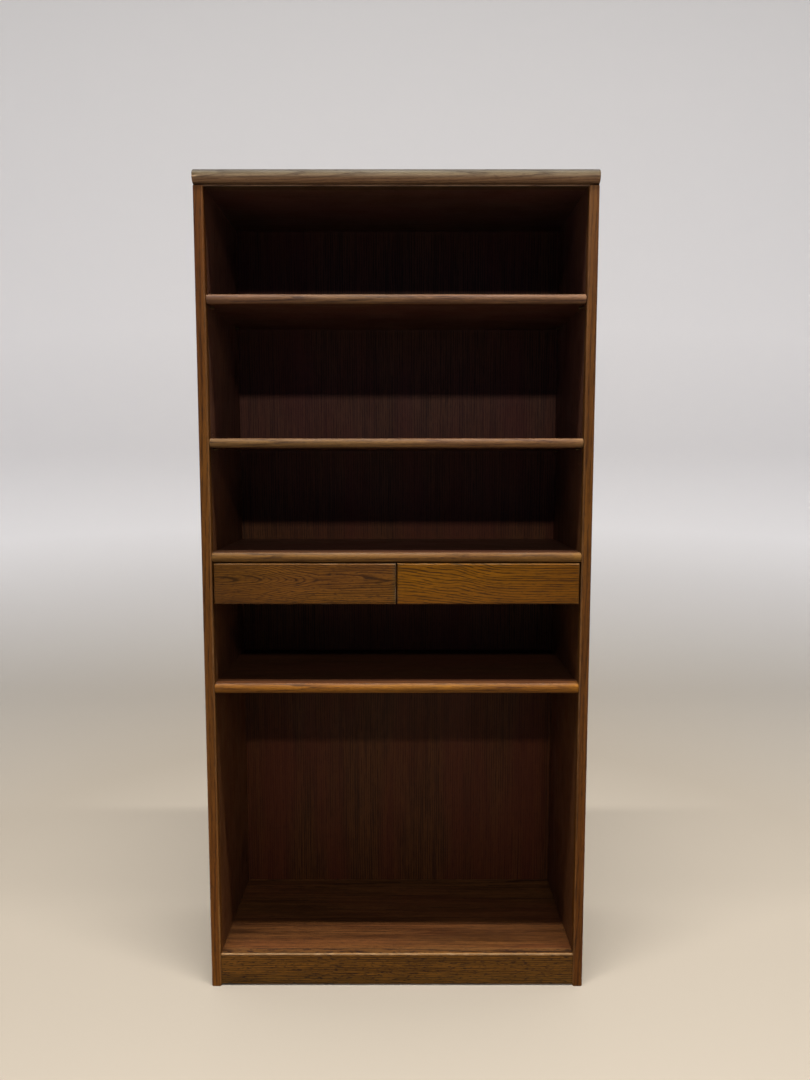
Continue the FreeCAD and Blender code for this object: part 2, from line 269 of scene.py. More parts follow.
world = bpy.data.worlds.new("pale_surroundings")
world.use_nodes = True
scene.world = world
world_tree = world.node_tree
direction = add(world_tree, "ShaderNodeTexCoord").outputs["Generated"]
overhead_share = vectors(world_tree, "DOT_PRODUCT", direction, overhead)
sky = world_tree.nodes["Background"]
sky.inputs["Strength"].default_value = sky_strength
world_tree.links.new(colour_stops(world_tree, overhead_share, sky_stops), sky.inputs["Color"])
grey = colour_stops(world_tree, parts(world_tree, direction)["Z"], backdrop_stops, easing="EASE")
backdrop = add(world_tree, "ShaderNodeBackground", [("Color", grey)])
camera_ray = add(world_tree, "ShaderNodeLightPath").outputs["Is Camera Ray"]
seen = add(world_tree, "ShaderNodeMixShader",
           [(0, camera_ray), (1, sky.outputs[0]), (2, backdrop.outputs[0])])
world_tree.links.new(seen.outputs[0], world_tree.nodes["World Output"].inputs["Surface"])

scene.view_settings.view_transform = "Standard"
scene.view_settings.look = "None"
print("surroundings:", len(world_tree.nodes), "nodes")

# %% [markdown]
# Oak grain is not a picture on a surface, it is what a saw uncovers inside a trunk: rings
# round a pith, cut by the plane of the board. So the grain works in solid space. It takes a
# place in the board's own axes, along, across and through, and measures how far that place
# lies from a pith that wanders and slowly leaves the board. Where the pith is far off, the
# rings come out as straight stripes, and where it is near, as the nested arches called
# cathedrals. The whole is a shader group: a circuit with named inputs and outputs, made once
# and placed in as many materials as need it, each with its own values.

# %% An empty group for the grain of stained oak
FLOAT = "NodeSocketFloat"
COLOUR = "NodeSocketColor"
VECTOR = "NodeSocketVector"


def new_group(name, inputs, outputs):
    """An empty shader group with its sockets; returns its tree, its entry and its exit."""
    tree = bpy.data.node_groups.new(name, "ShaderNodeTree")
    for label, kind, value in inputs:
        socket = tree.interface.new_socket(label, in_out="INPUT", socket_type=kind)
        if value is not None:
            socket.default_value = value
    for label, kind in outputs:
        tree.interface.new_socket(label, in_out="OUTPUT", socket_type=kind)
    return tree, tree.nodes.new("NodeGroupInput").outputs, tree.nodes.new("NodeGroupOutput").inputs


oak_grain, oak_in, oak_out = new_group(
    "oak_grain",
    [("Place", VECTOR, None), ("Ring", FLOAT, 0.006), ("Heart Through", FLOAT, 0.05),
     ("Heart Across", FLOAT, 0.0), ("Taper", FLOAT, 0.05), ("Wander", FLOAT, 0.012),
     ("Knot", VECTOR, (0, 0, 0)), ("Knot Pull", VECTOR, (8, 22, 0)), ("Swell", FLOAT, 0.0),
     ("Ripple", FLOAT, 0.7), ("Figure", FLOAT, 0.6),
     ("Streaks", FLOAT, 0.4), ("Pores", FLOAT, 0.5), ("Flecks", FLOAT, 0.3),
     ("Pale", COLOUR, (0.2, 0.09, 0.035, 1)), ("Dark", COLOUR, (0.07, 0.028, 0.01, 1)),
     ("Blush", COLOUR, (0.16, 0.05, 0.025, 1)), ("Blush Share", FLOAT, 0.3),
     ("Satin", FLOAT, 0.4)],
    [("Color", COLOUR), ("Roughness", FLOAT), ("Height", FLOAT)])
print("oak_grain:", len(oak_grain.interface.items_tree), "sockets")

# %% How far a place is from the pith
def mottle(tree, place, cells, detail=1.0, roughness=0.5):
    """Noise about 0.5, with so many cells to the metre along, across and through."""
    scaled = vectors(tree, "MULTIPLY", place, cells)
    return add(tree, "ShaderNodeTexNoise", [("Vector", scaled), ("Scale", 1.0),
                                            ("Detail", detail), ("Roughness", roughness)])


def from_pith(coordinate, offset, drifting):
    """How far a place is from the pith in one direction, with the pith's own drift."""
    return grain_maths("MULTIPLY_ADD", grain_maths("SUBTRACT", drifting, 0.5), swing,
                       grain_maths("SUBTRACT", coordinate, offset))


place = oak_in["Place"]
grain_maths = partial(maths, oak_grain)
grain_noise = partial(mottle, oak_grain, place)
part = parts(oak_grain, place)
drift = parts(oak_grain, grain_noise((2.4, 7, 7)).outputs["Color"])
swing = grain_maths("MULTIPLY", oak_in["Wander"], 2.0)
leaving = grain_maths("MULTIPLY_ADD", part[0], oak_in["Taper"], oak_in["Heart Through"])
across = from_pith(part[1], oak_in["Heart Across"], drift[0])
through = from_pith(part[2], leaving, drift[1])
flat = add(oak_grain, "ShaderNodeCombineXYZ", [(1, across), (2, through)]).outputs[0]
radius = vectors(oak_grain, "LENGTH", flat)
print(len(oak_grain.nodes), "nodes so far")

# %% [markdown]
# A knot pushes the rings apart. Near the knot the distance from the pith swells or shrinks,
# by an amount that fades out over one unit of distance, measured after the pull has drawn
# the knot out along the grain and noise has made it uneven. The rings bend by themselves.

# %% The swelling round a knot
def ramp(tree, value, low, high, start=0.0, end=1.0):
    """Goes smoothly from start to end while value goes from low to high."""
    node = add(tree, "ShaderNodeMapRange", [(0, value), (1, low), (2, high), (3, start), (4, end)],
               interpolation_type="SMOOTHSTEP")
    return node.outputs[0]


grain_ramp = partial(ramp, oak_grain)
unevenness = (0.3, 0.3, 0.3)
from_knot = vectors(oak_grain, "SUBTRACT", place, oak_in["Knot"])
from_knot = vectors(oak_grain, "MULTIPLY", from_knot, oak_in["Knot Pull"])
askew = grain_noise((12, 30, 30)).outputs["Color"]
from_knot = vectors(oak_grain, "MULTIPLY_ADD", askew, unevenness, from_knot)
from_knot = vectors(oak_grain, "SUBTRACT", from_knot, [share / 2 for share in unevenness])
knot_distance = vectors(oak_grain, "LENGTH", from_knot)
near_knot = grain_ramp(knot_distance, 0.0, 1.0, 1.0, 0.0)
radius = grain_maths("MULTIPLY_ADD", near_knot, oak_in["Swell"], radius)
print(len(oak_grain.nodes), "nodes so far")

# %% [markdown]
# Divided by the width of a ring, the distance counts years, and its fraction is the season.
# Each year starts with a porous band, the early wood, which drinks more stain. It sets in
# sharply and fades out slowly, and it breaks up into dashes.

# %% The early wood of each year
early_full = 0.10
early_fades = (0.14, 0.50)
uneven_share = 0.9
fine_sway = grain_noise((11, 60, 60), detail=2.0).outputs[0]
uneven_years = add(oak_grain, "ShaderNodeTexNoise",
                   [("W", radius), ("Scale", 60.0), ("Detail", 1.0)],
                   noise_dimensions="1D").outputs[0]
years = grain_maths("DIVIDE", radius, oak_in["Ring"])
years = grain_maths("MULTIPLY_ADD", fine_sway, oak_in["Ripple"], years)
years = grain_maths("MULTIPLY_ADD", uneven_years, uneven_share, years)
season = grain_maths("FRACT", years)
early = grain_maths("MULTIPLY", grain_ramp(season, 0.0, early_full),
                    grain_ramp(season, *early_fades, 1.0, 0.0))
gaps = grain_noise((26, 190, 190)).outputs[0]
early = grain_maths("MULTIPLY", early, grain_ramp(gaps, 0.32, 0.58, 0.35, 1.15))
print(len(oak_grain.nodes), "nodes so far")

# %% [markdown]
# Between the rings lie finer things, all long in the grain and thin across it: fibres,
# broader streaks of stain, the open pores of the early wood as short dark dashes, and the
# flecks where the saw cut the wood's rays. Each is noise with its own number of cells.

# %% Fibres, streaks, pores and flecks
loose_pores = 0.22
fibre = grain_noise((13, 300, 300), detail=3.0, roughness=0.62).outputs[0]
streak = grain_noise((3.0, 75, 75), detail=2.0).outputs[0]
pore_noise = grain_noise((48, 1050, 1050), detail=0.0).outputs[0]
in_early_wood = grain_maths("MULTIPLY_ADD", early, 1 - loose_pores, loose_pores)
open_pores = grain_maths("MULTIPLY", grain_ramp(pore_noise, 0.50, 0.66), in_early_wood)
ray_noise = grain_noise((85, 430, 430)).outputs[0]
ray_flecks = grain_ramp(ray_noise, 0.56, 0.68)
print(len(oak_grain.nodes), "nodes so far")

# %% Their colour under the stain
def blend_colours(tree, share, a, b, mode="MIX"):
    """Colour a, changed towards b by share."""
    node = add(tree, "ShaderNodeMix", [(0, share), (6, a), (7, b)], data_type="RGBA",
               blend_type=mode)
    return node.outputs[2]


pore_shadow = (0.012, 0.005, 0.003, 1)
figure = grain_maths("MULTIPLY", early, oak_in["Figure"])
streaks = grain_ramp(streak, 0.28, 0.72, -0.25, 1.0)
figure = grain_maths("MULTIPLY_ADD", streaks, oak_in["Streaks"], figure)
figure = grain_maths("ADD", figure, grain_ramp(fibre, 0.25, 0.75, -0.32, 0.42), clamp=True)
wood = blend_colours(oak_grain, figure, oak_in["Pale"], oak_in["Dark"])
stain_patch = grain_noise((1.6, 9, 9), detail=2.0).outputs[0]
blush = grain_maths("MULTIPLY", grain_ramp(stain_patch, 0.36, 0.66), oak_in["Blush Share"])
wood = blend_colours(oak_grain, blush, wood, oak_in["Blush"])
flecks = grain_maths("MULTIPLY", ray_flecks, oak_in["Flecks"])
shadow = grain_maths("MULTIPLY_ADD", open_pores, oak_in["Pores"], flecks, clamp=True)
oak_grain.links.new(blend_colours(oak_grain, shadow, wood, pore_shadow), oak_out["Color"])
print(len(oak_grain.nodes), "nodes so far")

# %% Their gloss and relief
pore_dullness = 0.18
fibre_relief = 0.35
early_relief = -0.25
smear = grain_noise((7, 11, 11), detail=3.0).outputs[0]
gloss = grain_maths("ADD", oak_in["Satin"], grain_ramp(smear, 0.3, 0.7, -0.05, 0.07))
gloss = grain_maths("MULTIPLY_ADD", open_pores, pore_dullness, gloss)
oak_grain.links.new(gloss, oak_out["Roughness"])
relief = grain_maths("MULTIPLY", early, early_relief)
relief = grain_maths("MULTIPLY_ADD", fibre, fibre_relief, relief)
relief = grain_maths("SUBTRACT", relief, open_pores)
oak_grain.links.new(relief, oak_out["Height"])
print("oak_grain:", len(oak_grain.nodes), "nodes")

# %% [markdown]
# Wear shows where hands and dusters pass: along the arrises, where the stain is rubbed back to
# paler wood. On a board that is a box, an arris is where two of the three distances to the
# faces are small, so the second smallest distance tells how near it is. Taking it in the
# board's own coordinates keeps the wear in place from every side.

# %% Rubbed arrises
rubbed_edges, edge_in, edge_out = new_group(
    "rubbed_edges",
    [("Place", VECTOR, None), ("Middle", VECTOR, (0, 0, 0)), ("Half", VECTOR, (1, 1, 1)),
     ("Reach", FLOAT, 0.004)],
    [("Mask", FLOAT)])
outwards = vectors(rubbed_edges, "ABSOLUTE",
                   vectors(rubbed_edges, "SUBTRACT", edge_in["Place"], edge_in["Middle"]))
depths = parts(rubbed_edges, vectors(rubbed_edges, "SUBTRACT", edge_in["Half"], outwards))
smaller = maths(rubbed_edges, "MINIMUM", depths[0], depths[1])
larger = maths(rubbed_edges, "MAXIMUM", depths[0], depths[1])
second = maths(rubbed_edges, "MAXIMUM", smaller,
               maths(rubbed_edges, "MINIMUM", larger, depths[2]))
patchy = mottle(rubbed_edges, edge_in["Place"], (26, 26, 26), detail=4.0,
                roughness=0.65).outputs[0]
reach = maths(rubbed_edges, "MULTIPLY", edge_in["Reach"],
              ramp(rubbed_edges, patchy, 0.34, 0.72, 0.15, 1.6))
nearness = maths(rubbed_edges, "SUBTRACT", 1.0, maths(rubbed_edges, "DIVIDE", second, reach))
rubbed_edges.links.new(maths(rubbed_edges, "MAXIMUM", nearness, 0.0, clamp=True), edge_out["Mask"])
print("rubbed_edges:", len(rubbed_edges.nodes), "nodes")

# %% [markdown]
# One function makes the material of one board. It needs the direction of the grain, because
# a board is always cut with its grain along its length, and a place of its own in the
# trunk, so that no two boards carry the same figure. A Mapping node turns the piece's
# coordinates so that its first axis runs along the grain.

# %% The material of one board
AXES = {"X": Vector((1, 0, 0)), "Y": Vector((0, 1, 0)), "Z": Vector((0, 0, 1))}
trunk_step = 2.37
worn_dullness = 0.15
pore_depth = 0.25 * MM


def oak(name, node, along, across, log, pale, dark, blush, wear=0.5, worn_map=False, shine=0.15,
        tint=(1.0, 0.74, 0.42), reach=3.5 * MM, bump=0.35, rubbed=(0.22, 0.13, 0.06),
        rubbing="MIX", knot=(0, 0), heart_through=0.1, taper=0.01, **grain):
    """Stained and lacquered oak for the board in that node. Along and across are the axes of
    its length and width, and log is its number in the trunk. Heart_through is how deep the
    pith lies under the middle of the board, and knot is where the rings swell, along and
    across from that middle. Rubbed is the colour of worn places, or with rubbing MULTIPLY a
    gain that keeps the grain in them."""
    material, tree, shader, own = new_finish(name)
    low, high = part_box(node)
    turned = Matrix((AXES[along], AXES[across], AXES[along].cross(AXES[across])))
    shift = Vector((trunk_step * log, 0, 0)) - turned @ ((low + high) / 2)
    place = add(tree, "ShaderNodeMapping",
                [("Vector", own), ("Location", shift), ("Rotation", turned.to_euler())]).outputs[0]
    wood = add(tree, "ShaderNodeGroup", node_tree=oak_grain)
    tree.links.new(place, wood.inputs["Place"])
    for key, value in (("Pale", pale), ("Dark", dark), ("Blush", blush)):
        wood.inputs[key].default_value = (*value, 1)
    wood.inputs["Knot"].default_value = (trunk_step * log + knot[0], knot[1], 0)
    wood.inputs["Taper"].default_value = taper
    wood.inputs["Heart Through"].default_value = heart_through - taper * trunk_step * log
    for key, value in grain.items():
        wood.inputs[key.replace("_", " ").title()].default_value = value
    # On the noses and the plinth the wear value also carries painted light: fill on the lower
    # halves, sheen and highlights.
    if worn_map:
        mask = add(tree, "ShaderNodeAttribute", attribute_name="wear").outputs["Fac"]
    else:
        edges = add(tree, "ShaderNodeGroup", node_tree=rubbed_edges)
        tree.links.new(own, edges.inputs["Place"])
        edges.inputs["Middle"].default_value = (low + high) / 2
        edges.inputs["Half"].default_value = (high - low) / 2
        edges.inputs["Reach"].default_value = reach
        mask = edges.outputs["Mask"]
    worn = maths(tree, "MULTIPLY", mask, wear, clamp=True)
    colour = blend_colours(tree, worn, wood.outputs["Color"], (*rubbed, 1), mode=rubbing)
    rough = maths(tree, "MULTIPLY_ADD", worn, worn_dullness, wood.outputs["Roughness"])
    relief = add(tree, "ShaderNodeBump", [("Strength", bump), ("Distance", pore_depth),
                                          ("Height", wood.outputs["Height"])])
    tree.links.new(colour, shader.inputs["Base Color"])
    tree.links.new(rough, shader.inputs["Roughness"])
    tree.links.new(relief.outputs[0], shader.inputs["Normal"])
    shader.inputs["Specular IOR Level"].default_value = shine
    shader.inputs["Specular Tint"].default_value = (*tint, 1)
    return material


print("boards lie", trunk_step, "m apart in the trunk")

# %% [markdown]
# The colour of one board isn't even either. Its stain fades in the light. Painted shade, painted
# light and painted cool casts make it darker by the floor and deep in the bays, paler where the
# lamps fall short, and cooler high up. Such a tone is laid over the finish, as a gain that sets in
# slowly along one axis.

# %% Tones, and putting a finish on
def tone_along(material, axis, start, end, gain):
    """Changes the stain's colour by that gain, bit by bit from start to end on that axis."""
    tree = material.node_tree
    place = parts(tree, add(tree, "ShaderNodeTexCoord").outputs["Object"])[axis]
    low, high = min(start, end), max(start, end)
    share = ramp(tree, place, low, high, float(start > end), float(start < end))
    into = tree.nodes["Principled BSDF"].inputs["Base Color"]
    changed = blend_colours(tree, share, into.links[0].from_socket, (*gain, 1), mode="MULTIPLY")
    tree.links.new(changed, into)


def deeper(colour, gain):
    """The same stain, deeper where the gain in a colour is under 1."""
    return tuple(part * share for part, share in zip(colour, gain))


def dress(node, material):
    """Gives every material slot of a CAD node that material."""
    for holder in nodes[node].material_slots:
        holder.material = material


print("a stain twice as deep:", deeper((0.8, 0.6, 0.4), (0.5, 0.5, 0.5)))

# %% [markdown]
# The boards of the case keep their exact solids, with their housings, grooves and peg holes, and
# only take the finish. The uprights and the back panel stand with their grain upright, and
# everything that lies has its grain from side to side. Their colour isn't alike. A painted cool
# cast, standing in for the look of shade in the upper bays, makes them cooler towards the top.
# Painted shade makes them deeper at the rear of the right side and on the shelves round the
# drawers. The top is faded, and the bottom board is paler at its front.

# %% The two sides
upright_pale = (0.100, 0.038, 0.0128)
upright_dark = (0.033, 0.0105, 0.0036)
stain_red = (0.054, 0.0150, 0.0067)
# Painted cool cast: the sides turn bluer from 0.95 m up, for the look of shade in the upper bays.
side_cool_cast = (0.95, 1.3)
side_cool_cast_gain = (0.96, 1.07, 1.75)
# Painted shade: the right side is darker from 60 to 180 mm behind its front, deep in the bays.
right_rear_shade = (60 * MM, 180 * MM)
right_rear_shade_gain = (0.82, 0.77, 0.86)
for node, log in (("side_left", 1), ("side_right", 2)):
    finish = oak(node + "_stain", node, "Z", "Y", log, upright_pale, upright_dark, stain_red,
                 ring=0.0055, heart_through=0.30, heart_across=0.10, taper=0.012,
                 wander=0.008, figure=0.55)
    tone_along(finish, "Z", *side_cool_cast, side_cool_cast_gain)
    if node == "side_right":
        front_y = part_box(node)[0].y
        tone_along(finish, "Y", *(front_y + depth for depth in right_rear_shade), right_rear_shade_gain)
    dress(node, finish)
# The cooler turn is that painted cast, not a change of stain.
print("the sides' stain turns cooler between", *side_cool_cast, "m up")

# %% The boards that lie
stain_pale = (0.058, 0.0225, 0.0074)
stain_dark = (0.016, 0.0054, 0.0020)
lying = {"top_board": 3, "shelf_1": 4, "shelf_2": 5, "shelf_3": 6, "shelf_4": 7,
         "drawer_floor": 8, "bottom_board": 9}
# Gains on the stain: bluer on the top and the upper shelves, a painted cool cast, and darker on
# shelves 3 and 4 beside the drawers, painted shade.
board_stain_and_shade_gain = {"top_board": (1.0, 1.15, 2.2), "shelf_1": (1.05, 1.1, 1.9),
              "shelf_2": (1.0, 0.95, 1.25), "shelf_3": (0.66, 0.72, 1.2),
              "shelf_4": (0.55, 0.55, 0.65), "bottom_board": (1.02, 1.02, 0.95)}
coarser = {"bottom_board": dict(streaks=0.65, pores=0.8)}
faded_gain = (1.05, 1.35, 1.10)
front_paler_gain = (1.48, 1.58, 1.45)
for node, log in lying.items():
    stain = [deeper(colour, board_stain_and_shade_gain.get(node, (1, 1, 1)))
             for colour in (stain_pale, stain_dark, stain_red)]
    finish = oak(node + "_stain", node, "X", "Y", log, *stain, wear=0.08, ring=0.0055,
                 heart_through=0.09, heart_across=0.16, wander=0.007, figure=0.8, ripple=1.0,
                 blush_share=0.45, **coarser.get(node, {}))
    low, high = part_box(node)
    if node == "top_board":
        tone_along(finish, "Z", high.z - 3 * MM, high.z - 0.5 * MM, faded_gain)
    if node == "bottom_board":
        tone_along(finish, "Y", low.y + 60 * MM, low.y, front_paler_gain)
    dress(node, finish)
print("lying boards:", len(lying))

# %% The boards that nobody sees, and the back panel
dress("drawer_divider", oak("divider_stain", "drawer_divider", "Y", "Z", 10, stain_pale,
                            stain_dark, stain_red, ring=0.006, heart_through=0.12))
dress("plinth_back", oak("rear_rail_stain", "plinth_back", "X", "Z", 11, stain_pale, stain_dark,
                         stain_red, ring=0.007, heart_through=0.06))
back_pale = (0.048, 0.0172, 0.0050)
back_dark = (0.012, 0.0042, 0.0018)
back_red = (0.044, 0.0085, 0.0042)
back_foot = (0.75, 0.25)
back_foot_gain = (0.85, 0.79, 0.70)
back_cool_cast = (0.95, 1.22)
back_cool_cast_gain = (0.91, 0.98, 1.85)
back_finish = oak("back_panel_stain", "back_panel", "Z", "X", 12, back_pale, back_dark, back_red,
                  ring=0.0060, heart_through=0.12, heart_across=0.9, taper=0.0, wander=0.003,
                  figure=0.9, streaks=0.45, blush_share=0.6, shine=0.12, tint=(1.0, 0.74, 0.6),
                  satin=0.5)
tone_along(back_finish, "Z", *back_foot, back_foot_gain)
# Painted cool cast towards the top, for the look of shade in the upper bays, as on the sides.
tone_along(back_finish, "Z", *back_cool_cast, back_cool_cast_gain)
dress("back_panel", back_finish)
print("back panel:", len(back_finish.node_tree.nodes), "nodes")

# %% [markdown]
# The two drawer fronts are the liveliest wood on the bookcase, warmer and paler than the case. Each
# is cut beside a knot: the left one's draws the rings together into arches, the right one's pushes
# them aside in a sweep. Each darkens towards its outer end. The left one has a painted grey
# highlight in a thin line beside the gap between them, where its rounded end catches the light.

# %% The drawer fronts
left_pale = (0.101, 0.0388, 0.0053)
left_dark = (0.026, 0.0096, 0.0012)
right_pale = (0.136, 0.0505, 0.0019)
right_dark = (0.034, 0.0126, 0.0005)
left_end_gain = (0.78, 0.79, 0.82)
right_end_gain = (0.86, 0.84, 0.74)
left_end_painted_sheen_gain = (0.86, 1.1, 1.7)
left_finish = oak("left_front_stain", "drawer_left_front", "X", "Z", 13, left_pale, left_dark,
                  stain_red, ring=0.0042, heart_through=0.022, heart_across=0.010, taper=0.02,
                  wander=0.003, knot=(-0.17, 0.010), knot_pull=(4.5, 9, 0), swell=-0.028,
                  ripple=1.6, figure=0.95, streaks=0.35, pores=0.8, flecks=0.5, reach=1.8 * MM)
low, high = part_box("drawer_left_front")
tone_along(left_finish, "X", low.x + 180 * MM, low.x, left_end_gain)
# Painted highlight: a thin grey line where the left front's rounded end meets the gap.
tone_along(left_finish, "X", high.x - 10 * MM, high.x - 3 * MM, left_end_painted_sheen_gain)
dress("drawer_left_front", left_finish)
right_finish = oak("right_front_stain", "drawer_right_front", "X", "Z", 14, right_pale,
                   right_dark, stain_red, ring=0.0054, heart_through=0.05, heart_across=0.13,
                   wander=0.003, knot=(-0.22, 0.03), knot_pull=(3.2, 5, 0),
                   swell=0.034, ripple=1.0, figure=0.95, streaks=0.3, pores=0.8,
                   reach=1.8 * MM)
low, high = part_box("drawer_right_front")
tone_along(right_finish, "X", low.x + 60 * MM, high.x, right_end_gain)
dress("drawer_right_front", right_finish)
print("drawer fronts:", [finish.name for finish in (left_finish, right_finish)])

# %% [markdown]
# Inside, nobody stained the wood. The boxes are of a plain pale timber, the bottoms of thin
# plywood, and the dowels and blocks of beech. They share the grain group, with its rings set
# fine and its pores nearly closed.

# %% Plain timber inside the drawers and the plinth
plain_pale = (0.165, 0.112, 0.062)
plain_dark = (0.112, 0.072, 0.037)
plain_warm = (0.140, 0.086, 0.043)
box_pieces = (("outer_side", "Y", "Z"), ("inner_side", "Y", "Z"), ("back", "X", "Z"),
              ("bottom", "X", "Y"))


def plain(name, node, along, across, log, **grain):
    """Unstained timber for the piece in that node."""
    settings = dict(ring=0.004, heart_through=0.07, figure=0.4, pores=0.12, flecks=0.08,
                    satin=0.55, wear=0.15, rubbed=(0.20, 0.14, 0.085))
    settings.update(grain)
    dress(node, oak(name, node, along, across, log, plain_pale, plain_dark, plain_warm, **settings))


for side, first_log in (("left", 20), ("right", 30)):
    for n, (piece, along, across) in enumerate(box_pieces):
        node = f"drawer_{side}_{piece}"
        plain(node + "_timber", node, along, across, first_log + n)
for log, node in ((40, "glue_blocks"), (41, "top_dowels")):
    plain(node + "_beech", node, "Z", "X", log, ring=0.003, figure=0.25)
print("plain pieces:", 2 * len(box_pieces) + 2)

# %% [markdown]
# The pegs are turned from brass that has gone dull, and the nails are plain steel. Metal needs
# little more than its colour and an uneven roughness, as long as the lamps have something to
# glance off.

# %% Pegs and nails
def metal(name, colour, roughness, cells):
    """Bare metal, clouded by noise of so many cells to the metre."""
    material, tree, shader, own = new_finish(name)
    cloud = mottle(tree, own, (cells, cells, cells), detail=4.0).outputs[0]
    dull = deeper(colour, (0.45, 0.45, 0.45))
    clouded = blend_colours(tree, ramp(tree, cloud, 0.35, 0.75), (*colour, 1), (*dull, 1))
    shader.inputs["Metallic"].default_value = 1.0
    tree.links.new(clouded, shader.inputs["Base Color"])
    tree.links.new(ramp(tree, cloud, 0.3, 0.7, roughness, roughness + 0.2),
                   shader.inputs["Roughness"])
    return material


nail_nodes = ("back_nails", "drawer_left_bottom_nails", "drawer_right_bottom_nails")
dress("shelf_pegs", metal("dull_brass", (0.11, 0.07, 0.032), 0.5, 420))
nail_steel = metal("nail_steel_plain", (0.42, 0.40, 0.38), 0.38, 700)
for node in nail_nodes:
    dress(node, nail_steel)
print("metal nodes:", 1 + len(nail_nodes))

# %% [markdown]
# Each shelf ends in a strip of solid oak, planed to a fat round nose. The nose is what the
# light plays on, so it is worked out afresh: an arc through the strip's two faces and its
# tip, carried along the shelf. An arc of half height h that bulges by b has the radius
# (h h + b b) / 2 b. First come the parts of such an outline. An outline is a list of points
# in the plane of the section, and goes once round it.

# %% Outlines of the strips
def arc(middle, radius, start, end, count):
    """Points on a circle, from one angle to the other."""
    angle = np.linspace(start, end, count)
    return np.column_stack([middle[0] + radius * np.cos(angle), middle[1] + radius * np.sin(angle)])


def nose_arc(front, low, high, bulge, count):
    """The arc of a nose from its upper to its lower end, its tip at front."""
    half = (high - low) / 2
    radius = (half * half + bulge * bulge) / (2 * bulge)
    reach = math.asin(half / radius)
    return arc((front + radius, (low + high) / 2), radius, math.pi - reach, math.pi + reach, count)


def straight(a, b, count):
    """Points from a to b, without a and b themselves."""
    return np.linspace(a, b, count + 2)[1:-1]


def inward(outline):
    """Unit vectors that point into a closed outline, at each of its points."""
    ahead = np.roll(outline, -1, axis=0) - np.roll(outline, 1, axis=0)
    ahead /= np.linalg.norm(ahead, axis=1, keepdims=True)
    nxt = np.roll(outline, -1, axis=0)
    area = np.sum(outline[:, 0] * nxt[:, 1] - nxt[:, 0] * outline[:, 1]) / 2
    return np.column_stack([-ahead[:, 1], ahead[:, 0]]) * math.copysign(1, area)


def turn_of(outline, way):
    """How squarely each point of the outline faces that way, 0 .. 1."""
    return np.clip(-inward(outline) @ np.array(way), 0, 1)


test_outline = nose_arc(0.0, 0.0, 0.02, 0.008, 9)
print("nose arc from", test_outline[0].round(4), "to", test_outline[-1].round(4))

# %% [markdown]
# Years of hands and books have flattened and dented the edges, a little differently at every
# place. Sums of waves stand for that: slow ones for the dents, quick ones for the scuffs. The
# dents move the surface itself, and the scuffs leave a wear value on every point, which the
# material reads.

# %% Waves that stand for uneven wear
outline_pitch = 1.2 * MM


def waves(u, v, seed, count=14, shortest=0.012, longest=0.2):
    """A sum of waves of random length, heading and phase, scaled to about -1 .. 1."""
    rng = np.random.default_rng(seed)
    length = shortest * (longest / shortest) ** rng.random(count)
    heading = rng.uniform(0, 2 * math.pi, count)
    phase = rng.uniform(0, 2 * math.pi, count)
    total = np.zeros(np.broadcast(u, v).shape)
    for n in range(count):
        along = u * np.cos(heading[n]) + v * np.sin(heading[n])
        total += np.sin(2 * math.pi * along / length[n] + phase[n])
    return total / math.sqrt(count)


def wear_waves(outline, places, seeds, squeeze, shortest, longest):
    """Slow and quick waves for every point of a strip: its place along it, and its number
    round the outline times the pitch. The quick ones are squeezed round the outline."""
    along, around = np.meshgrid(places, np.arange(len(outline)) * outline_pitch, indexing="ij")
    slow = waves(along, around, seeds[0])
    return slow, waves(along, around * squeeze, seeds[1], shortest=shortest, longest=longest)


def soft_step(value, low, high):
    """0 below low and 1 above high, with the curve 3 t t - 2 t t t between."""
    t = np.clip((value - low) / (high - low), 0, 1)
    return t * t * (3 - 2 * t)


def dented(depth, where, slow):
    """How far the surface is pushed in: up to that depth, where the slow waves run high."""
    return depth * where * soft_step(slow, 0.2, 1.6)


print("waves at one place:", round(float(waves(np.array(0.1), np.array(0.2), 1)), 3))

# %% [markdown]
# An outline becomes a strip by being carried along an axis, with its ends drawn in to a small
# rounding. The surface is closed with a flat cap at either end. The volume that it encloses
# is measured, because a volume below zero means that the faces look inwards, and then they
# are turned round.

# %% A closed strip from its sections
def enclosed_volume(points, quads):
    """The sum of a . (b x c) / 6 over the two triangles of every quad."""
    a, b, c, d = (points[quads[:, n]] for n in range(4))
    volume = np.einsum("ij,ij->", a, np.cross(b, c)) + np.einsum("ij,ij->", a, np.cross(c, d))
    return volume / 6


def closed_strip(name, sections, sharp_degrees=28):
    """Sections[i, j] is point j round section i; the ends are closed with flat caps. Edges
    that turn by more than sharp_degrees stay sharp, and the rest is shaded smooth."""
    rows, columns = sections.shape[:2]
    points = sections.reshape(-1, 3)
    quads = grid_quads(rows, columns, closed=True)
    middle = points.mean(axis=0)
    inside_out = enclosed_volume(points - middle, quads) < 0
    faces = (quads[:, ::-1] if inside_out else quads).tolist()
    first = list(range(columns))
    last = list(range((rows - 1) * columns, rows * columns))
    faces += [first, last[::-1]] if inside_out else [first[::-1], last]
    mesh = bpy.data.meshes.new(name)
    mesh.from_pydata(points.tolist(), [], faces)
    mesh.shade_smooth()
    mesh.set_sharp_from_angle(angle=math.radians(sharp_degrees))
    thing = bpy.data.objects.new(name, mesh)
    scene.collection.objects.link(thing)
    return thing


unit_tube = np.array([(x, y, z) for x in (0, 1) for y, z in ((0, 0), (1, 0), (1, 1), (0, 1))])
print("four sides of a cube of 1 take in",
      round(enclosed_volume(unit_tube - 0.5, grid_quads(2, 4, closed=True)), 3))

# %% From an outline to a worn strip
end_steps = 7


